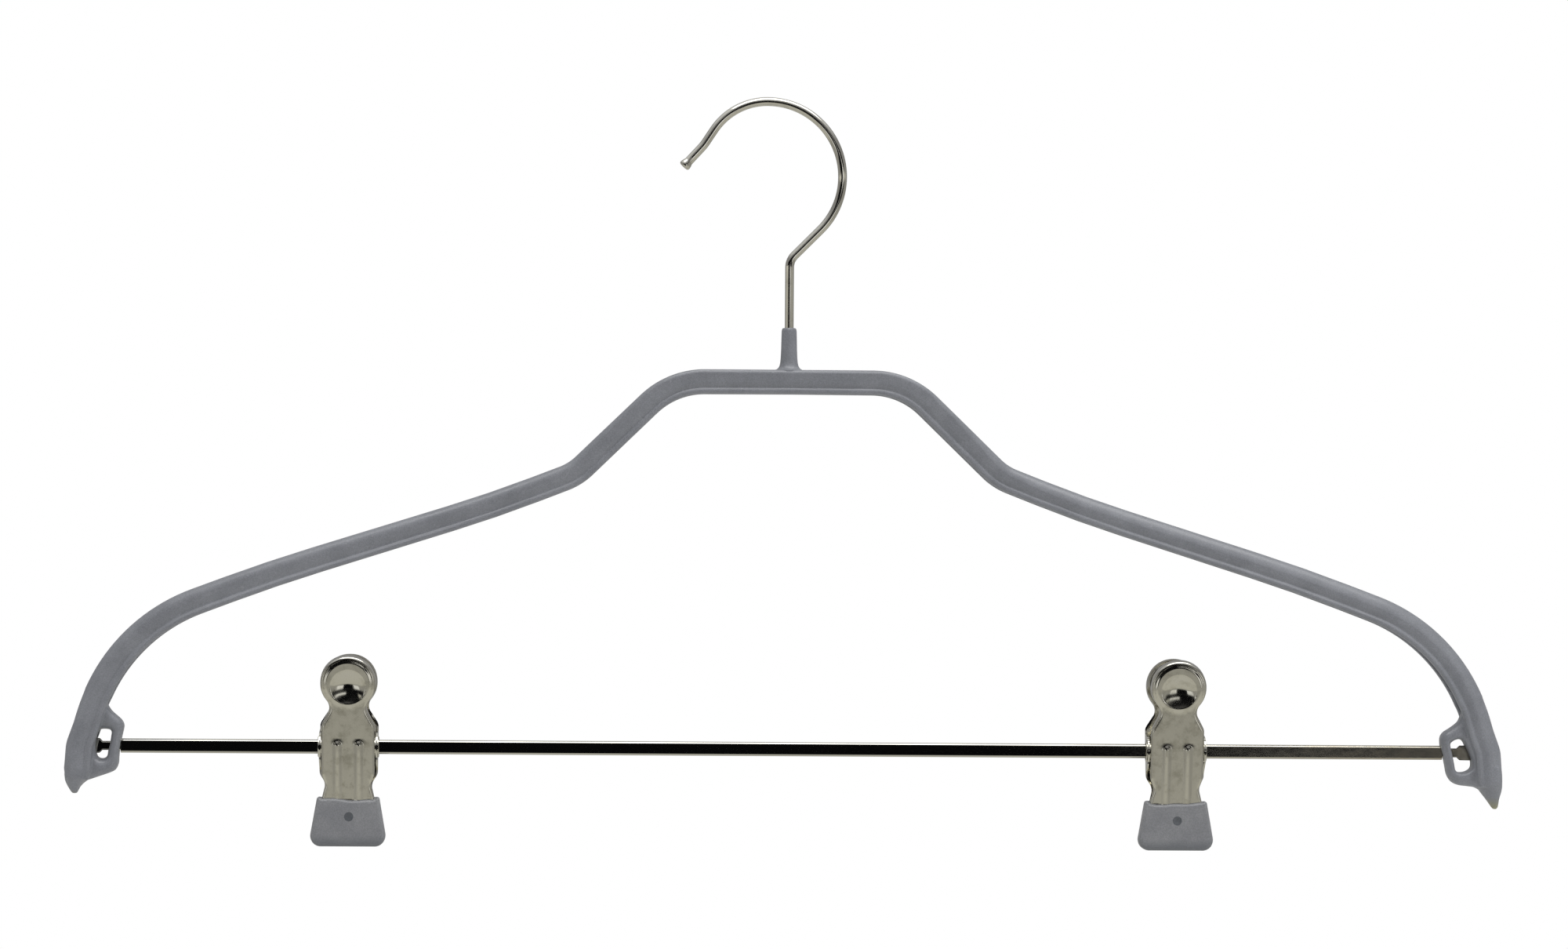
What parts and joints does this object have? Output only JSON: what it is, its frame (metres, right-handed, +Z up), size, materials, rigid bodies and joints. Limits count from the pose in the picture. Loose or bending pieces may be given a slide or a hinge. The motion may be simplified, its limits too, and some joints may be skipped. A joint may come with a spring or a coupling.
{
  "type": "clothes hanger with clips",
  "caption": "Vinyl-dipped steel shoulder hanger with a turning wire hook and sprung clips that slide and swing on a flat bar.",
  "frame": {"origin": "seat under the hook's crown, where a rail carries the hanger", "axes": "+X along the clip bar, +Y to the back, +Z up"},
  "size_m": [0.4196, 0.022, 0.2191],
  "materials": {
    "dipped_vinyl": "satin dipped vinyl",
    "plated_wire": "bright nickel plate",
    "plated_sheet": "satin nickel plate",
    "plated_bar": "polished plate",
    "bare_steel": "rolled, under the vinyl",
    "spring_steel": "drawn wire"
  },
  "bodies": {
    "hook": {"hook": "plated_wire"},
    "frame": {"frame_coating": "dipped_vinyl", "shoulder_channel": "bare_steel", "hook_sleeve": "bare_steel", "end_bracket_left": "bare_steel", "end_bracket_right": "bare_steel", "clip_bar": "plated_bar"},
    "left_slider": {"left_clip_pivot_tube": "plated_sheet"},
    "left_rear_jaw": {"left_clip_rear_plate": "plated_sheet", "left_clip_rear_grip": "dipped_vinyl", "left_clip_spring": "spring_steel"},
    "left_front_jaw": {"left_clip_front_plate": "plated_sheet", "left_clip_front_grip": "dipped_vinyl"},
    "right_slider": {"right_clip_pivot_tube": "plated_sheet"},
    "right_rear_jaw": {"right_clip_rear_plate": "plated_sheet", "right_clip_rear_grip": "dipped_vinyl", "right_clip_spring": "spring_steel"},
    "right_front_jaw": {"right_clip_front_plate": "plated_sheet", "right_clip_front_grip": "dipped_vinyl"}
  },
  "joints": [
    {"name": "hook_swivel", "type": "hinge", "parent": "hook", "child": "frame", "pos_m": [0.00662, 0, -0.0647], "axis": [0, 0, 1], "continuous": true},
    {"name": "left_clip_slide", "type": "slide", "parent": "frame", "child": "left_slider", "axis": [1, 0, 0], "range_m": [-0.0426, 0.1154]},
    {"name": "left_clip_swing", "type": "hinge", "parent": "left_slider", "child": "left_rear_jaw", "pos_m": [-0.12078, 0, -0.1876], "axis": [1, 0, 0], "continuous": true},
    {"name": "left_clip_open", "type": "hinge", "parent": "left_rear_jaw", "child": "left_front_jaw", "pos_m": [-0.12078, 0, -0.1876], "axis": [-1, 0, 0], "range_deg": [0, 30], "stiffness_Nm_per_rad": 0.15, "springref_deg": -57.3, "deforming": ["left_clip_spring"]},
    {"name": "right_clip_slide", "type": "slide", "parent": "frame", "child": "right_slider", "axis": [1, 0, 0], "range_m": [-0.1019, 0.0561]},
    {"name": "right_clip_swing", "type": "hinge", "parent": "right_slider", "child": "right_rear_jaw", "pos_m": [0.12052, 0, -0.1876], "axis": [1, 0, 0], "continuous": true},
    {"name": "right_clip_open", "type": "hinge", "parent": "right_rear_jaw", "child": "right_front_jaw", "pos_m": [0.12052, 0, -0.1876], "axis": [-1, 0, 0], "range_deg": [0, 30], "stiffness_Nm_per_rad": 0.15, "springref_deg": -57.3, "deforming": ["right_clip_spring"]}
  ]
}
